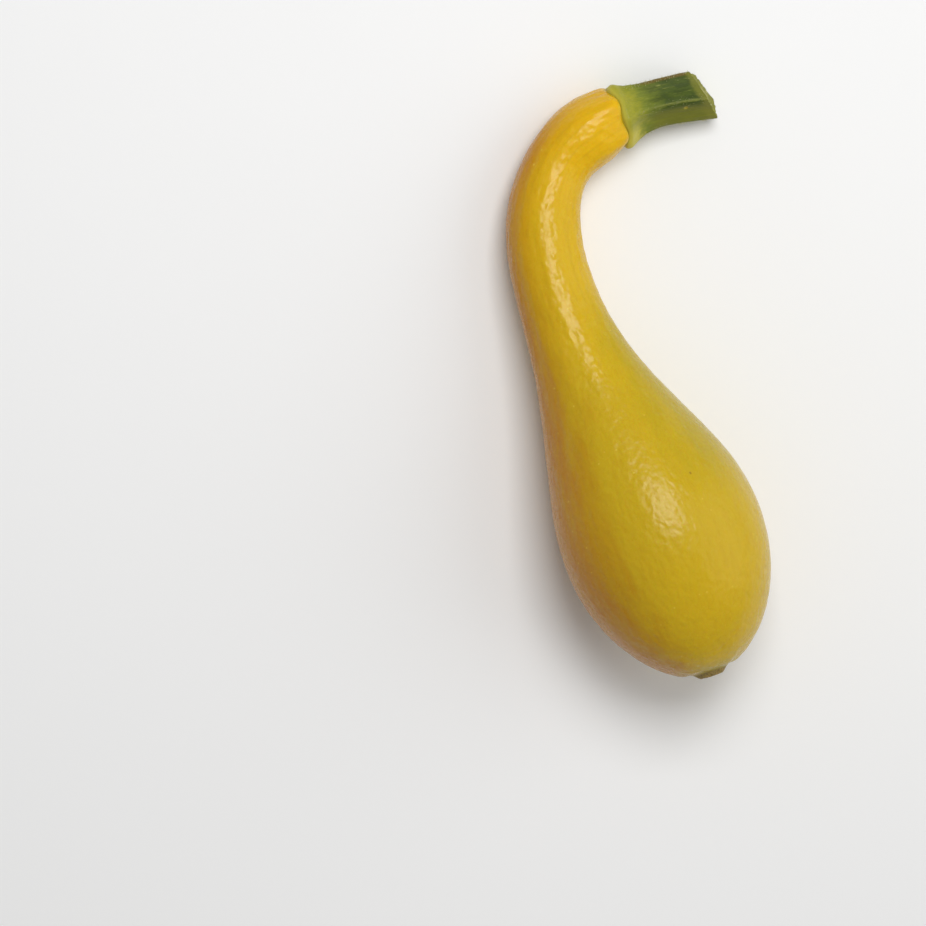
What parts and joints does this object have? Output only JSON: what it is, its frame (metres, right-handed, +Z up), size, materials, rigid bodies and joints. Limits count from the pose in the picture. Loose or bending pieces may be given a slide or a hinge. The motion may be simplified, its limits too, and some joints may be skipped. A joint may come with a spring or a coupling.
{
  "type": "crookneck summer squash",
  "caption": "Yellow crookneck summer squash as picked, a smooth bulb narrowing to a hooked neck with a short ridged green stem, lying on its side.",
  "frame": {"origin": "middle of the flat spot under the bulb, on the surface that the squash lies on", "axes": "+Z up, +Y from the blossom end towards the stem, +X to the side that the crook opens to"},
  "size_m": [0.0886, 0.2049, 0.0685],
  "materials": {
    "yellow_skin": "thin waxy skin, satin to glossy, golden yellow with faint lengthwise streaks",
    "green_stem": "dull fibrous stalk, green with paler ridges and foot"
  },
  "bodies": {
    "root": {"fruit": "yellow_skin", "stem": "green_stem"}
  },
  "joints": []
}
